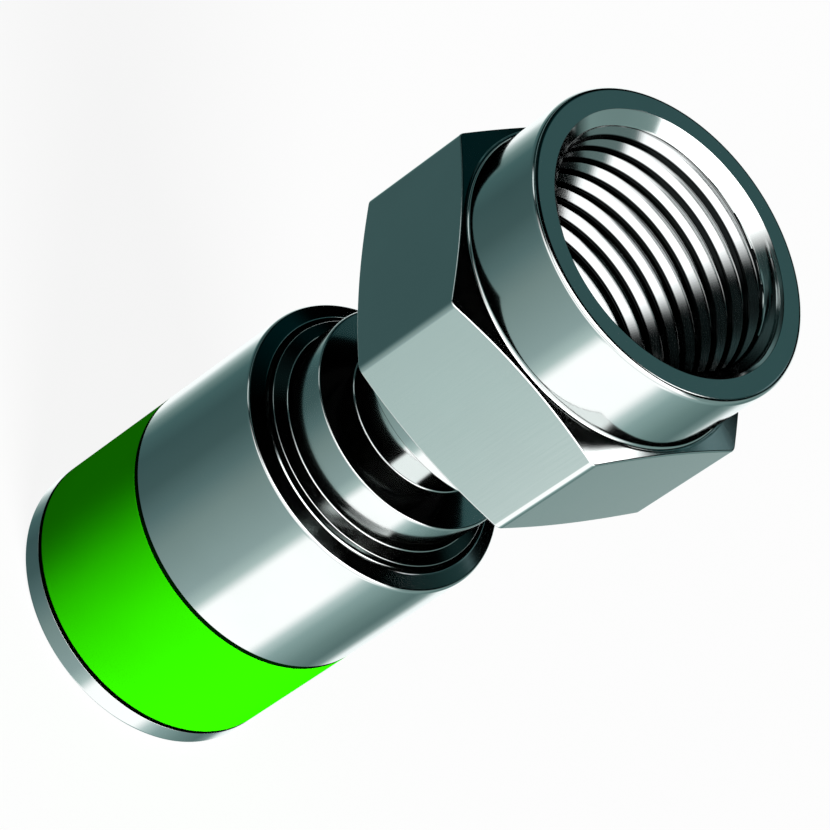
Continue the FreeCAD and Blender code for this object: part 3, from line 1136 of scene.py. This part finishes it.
@dataclass
class Studio:
    """White table, a soft lamp and a ring of light and dark panels for the metal to mirror."""

    view: View = field(default_factory=View)
    table: Colour = (0.93, 0.93, 0.93)
    table_half: float = 1.5
    table_glow: float = 0.9
    fill: float = 0.12

    def low_panels(self) -> list[tuple[float, Colour]]:
        """Panels round the plug that its walls mirror.

        Returns:
            For each stop the turn of the wall that mirrors it, in degrees, and its light.
        """
        bright = (1.02, 1.06, 1.06)
        white = (1.15, 1.15, 1.15)
        return [
            (-90.0, bright),
            (-77.0, bright),
            (-72.0, (0.44, 0.54, 0.53)),
            (-67.0, (0.17, 0.26, 0.25)),
            (-61.0, (0.062, 0.13, 0.13)),
            (-50.0, (0.045, 0.092, 0.093)),
            (-36.0, (0.055, 0.105, 0.105)),
            (-25.0, (0.10, 0.17, 0.17)),
            (-14.0, (0.19, 0.27, 0.26)),
            (5.0, (0.28, 0.38, 0.375)),
            (10.5, (0.45, 0.57, 0.55)),
            (14.0, white),
            (37.0, white),
            (41.0, (0.50, 0.62, 0.61)),
            (46.0, (0.26, 0.38, 0.37)),
            (56.0, (0.15, 0.24, 0.23)),
            (65.0, (0.10, 0.17, 0.165)),
            (71.0, (0.21, 0.30, 0.29)),
            (77.0, (0.92, 0.98, 0.98)),
            (90.0, bright),
        ]

    def front_rise(self) -> list[tuple[float, Colour]]:
        """Light from the table's level up to overhead, on the camera's side.

        Returns:
            For each stop the height, from 0 to 1 overhead, and its light.
        """
        grey = (0.26, 0.35, 0.345)
        white = (1.1, 1.1, 1.1)
        return [(0.0, grey), (0.08, white), (0.32, white), (0.39, grey), (0.47, grey),
                (0.53, white), (1.0, (1.4, 1.4, 1.4))]

    def high_panels(self) -> list[tuple[float, Colour]]:
        """Panels above the table's level outside the front opening.

        Returns:
            For each stop the turn from the camera's side, in degrees, and its light.
        """
        rim = (0.035, 0.083, 0.085)
        left = (0.010, 0.026, 0.026)
        return [
            (-180.0, rim), (-171.0, rim), (-162.0, (0.001, 0.012, 0.013)),
            (-150.0, (0.0, 0.008, 0.009)), (-140.0, (0.0, 0.0, 0.0)),
            (-120.0, (0.004, 0.012, 0.012)), (-100.0, left), (-60.0, (0.02, 0.045, 0.045)),
            (-50.0, (0.0, 0.0, 0.0)), (140.0, (0.0, 0.0, 0.0)),
            (150.0, (0.01, 0.03, 0.03)), (168.0, rim), (180.0, rim),
        ]

    @staticmethod
    def ramp(net: Net, where: Flow, stops: list[tuple[float, Colour]]) -> Flow:
        """Light that changes with a value.

        Args:
            net: the room's tree.
            where: the value, from 0 to 1.
            stops: value and light of each stop, rising.

        Returns:
            The light.
        """
        return net.out(net.node("ShaderNodeValToRGB", {"stops": stops}, {0: where}))

    def room(self) -> None:
        """Sets the surroundings: white to the camera, panels to the metal, soft to the rest.

        What a mirrored ray mirrors in turn is black but for one strip, so that the walls inside
        the nut and the grooves stay dark.
        """
        world = bpy.data.worlds.new("studio")
        bpy.context.scene.world = world
        net = empty_net(world)
        x, y, z = net.parts(net.out(net.node("ShaderNodeTexCoord"), "Generated"))
        azimuth = net.maths("ARCTAN2", y, x) - math.radians(self.view.azimuth)
        around = (azimuth / math.tau + 1.5).fraction()
        rise = net.maths("ARCSINE", z) / (math.pi / 2)
        turn = (around - 0.5) * 360.0
        height = rise * 90.0
        low = self.ramp(net, around, [(0.5 + side / 180.0, light)
                                      for side, light in self.low_panels()])
        panels = self.ramp(net, around, [(0.5 + side / 360.0, light)
                                         for side, light in self.high_panels()])
        panels = net.blend(height.within(46.8, 57.6), panels, BLACK)
        # Dark behind the plug, close to the table.
        low_back = turn.size().within(144.0, 154.8) * (1.0 - height.within(27.0, 32.4))
        panels = net.blend(low_back, panels, BLACK)
        # Grey wing at the right, whose top edge falls toward the back.
        wing = turn.between((78.0, 86.0), (140.0, 150.0)) \
            * (1.0 - (height + (turn - 96.12) * 0.75).within(44.1, 52.2))
        panels = net.blend(wing, panels, (0.18, 0.27, 0.26))
        # The white opening on the camera's side, with the lamps and panels round it.
        opening = turn.between((-62.0, -42.0), (86.0, 96.0))
        high = net.blend(opening, panels, self.ramp(net, rise, self.front_rise()))
        for patch in (OVERHEAD, RIGHT_LAMP, LEFT_SHADE):
            high = patch.over(net, turn, height, high)
        # Faint band that climbs from the back to the left side, for the thread.
        slant = (turn * 0.6 + 94.05).least(turn * 0.375 + 74.07)
        flare = turn.between((-147.6, -140.4), (-59.4, -54.0)) \
            * (1.0 - (height - slant).size().within(3.6, 4.95))
        high = net.blend(flare, high, (0.11, 0.18, 0.18))
        for patch in (LEFT_PANEL, BACK_PANEL, BACK_WINDOW):
            high = patch.over(net, turn, height, high)
        pattern = net.blend(z.within(-0.04, 0.04), low, high)
        path = net.node("ShaderNodeLightPath")
        first = 1.0 - net.out(path, "Glossy Depth").within(1.2, 1.8)
        pattern = net.blend(first, SECOND_STRIP.over(net, turn, height, BLACK), pattern)
        seen = net.blend(net.out(path, "Is Glossy Ray"), (self.fill,) * 3, pattern)
        seen = net.blend(net.out(path, "Is Camera Ray"), seen, (1.0, 1.0, 1.0))
        shader = net.node("ShaderNodeBackground", {}, {"Color": seen, "Strength": 1.0})
        net.node("ShaderNodeOutputWorld", {}, {"Surface": shader.outputs[0]})

    def lamp(self, name: str, azimuth: float, elevation: float, strength: float,
             softness: float) -> None:
        """Adds a soft lamp far away.

        Args:
            name: its name.
            azimuth: where it stands, in degrees from the camera's side.
            elevation: its height in degrees.
            strength: its light.
            softness: its width in degrees.
        """
        light = bpy.data.lights.new(name, "SUN")
        light.energy = strength
        light.angle = math.radians(softness)
        holder = bpy.data.objects.new(name, light)
        bpy.context.scene.collection.objects.link(holder)
        turn = math.radians(self.view.azimuth + azimuth)
        rise = math.radians(elevation)
        way = Vector((math.cos(turn) * math.cos(rise), math.sin(turn) * math.cos(rise),
                      math.sin(rise)))
        holder.rotation_euler = way.to_track_quat("Z", "Y").to_euler()
        holder.visible_glossy = False

    def floor(self) -> None:
        """Adds the pale table under the plug."""
        half = self.table_half
        mesh = bpy.data.meshes.new("table")
        mesh.from_pydata([(-half, -half, 0.0), (half, -half, 0.0), (half, half, 0.0),
                          (-half, half, 0.0)], [], [(0, 1, 2, 3)])
        table = bpy.data.objects.new("table", mesh)
        bpy.context.scene.collection.objects.link(table)
        material = bpy.data.materials.new("table_white")
        net = empty_net(material)
        matte = net.node("ShaderNodeBsdfDiffuse", {}, {"Color": (*self.table, 1.0)})
        glow = net.node("ShaderNodeEmission", {}, {"Color": (1.0, 1.0, 1.0, 1.0)})
        path = net.node("ShaderNodeLightPath")
        share = net.out(path, "Is Camera Ray") * self.table_glow
        mixed = net.node("ShaderNodeMixShader", {},
                         {0: share, 1: matte.outputs[0], 2: glow.outputs[0]})
        net.node("ShaderNodeOutputMaterial", {}, {"Surface": mixed.outputs[0]})
        mesh.materials.append(material)
        table.visible_glossy = False
        table.visible_diffuse = False

    def build(self) -> None:
        """Builds the whole studio."""
        self.view.make()
        self.room()
        self.lamp("key", azimuth=50.0, elevation=32.0, strength=4.4, softness=25.0)
        self.floor()


def main() -> None:
    """Builds the looks of the plug and its studio."""
    logging.basicConfig(level=logging.INFO, format="%(name)s %(levelname)s %(message)s")
    scene = bpy.context.scene
    scene.view_settings.view_transform = "Standard"
    Studio().build()

    turned = Plating("nickel_turned").make()
    drawn = Plating("nickel_drawn", grain=Grain.DRAWN).make()
    post_metal = Plating("nickel_satin", (0.80, 0.84, 0.83), 0.22).make()
    bevel_metal = Plating("nickel_bevel", roughness=0.14, lean=0.08).make()
    # The thread gets painted shade on its crests: near-black base colour up to the
    # painted-shade radius.
    thread_metal = Plating("nickel_thread", (0.50, 0.52, 0.52), roughness=0.12,
                           mark_depth=0.0, lean=0.61, climb=0.5, painted_shade_r=4.42).make()
    green = Moulded("green_gloss", (0.036, 0.92, 0.0), 0.45, 0.0).make()
    # Near-black green for the ring's ends: a painted shadow line where the ring meets its
    # groove.
    green_end_shade = Moulded("green_end_painted_shade", (0.0, 0.012, 0.0), 0.6, 0.05).make()
    rubber = Moulded("seal_black", (0.02, 0.02, 0.02), 0.55).make()
    plastic = Moulded("ferrule_white", (0.55, 0.55, 0.52), 0.45).make()

    Sleeve().build(turned, green, green_end_shade)
    BodyAndPost().build(turned, post_metal)
    CouplingNut().build(turned, drawn, thread_metal, bevel_metal)
    finishes = {"grip_ferrule": plastic, "sleeve_seal": rubber, "nut_seal": rubber}
    for node, material in finishes.items():
        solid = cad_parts[node]
        solid.data.materials.clear()
        solid.data.materials.append(material)
        LOG.info("%s keeps its own solid", node)


if __name__ == "__main__":
    main()
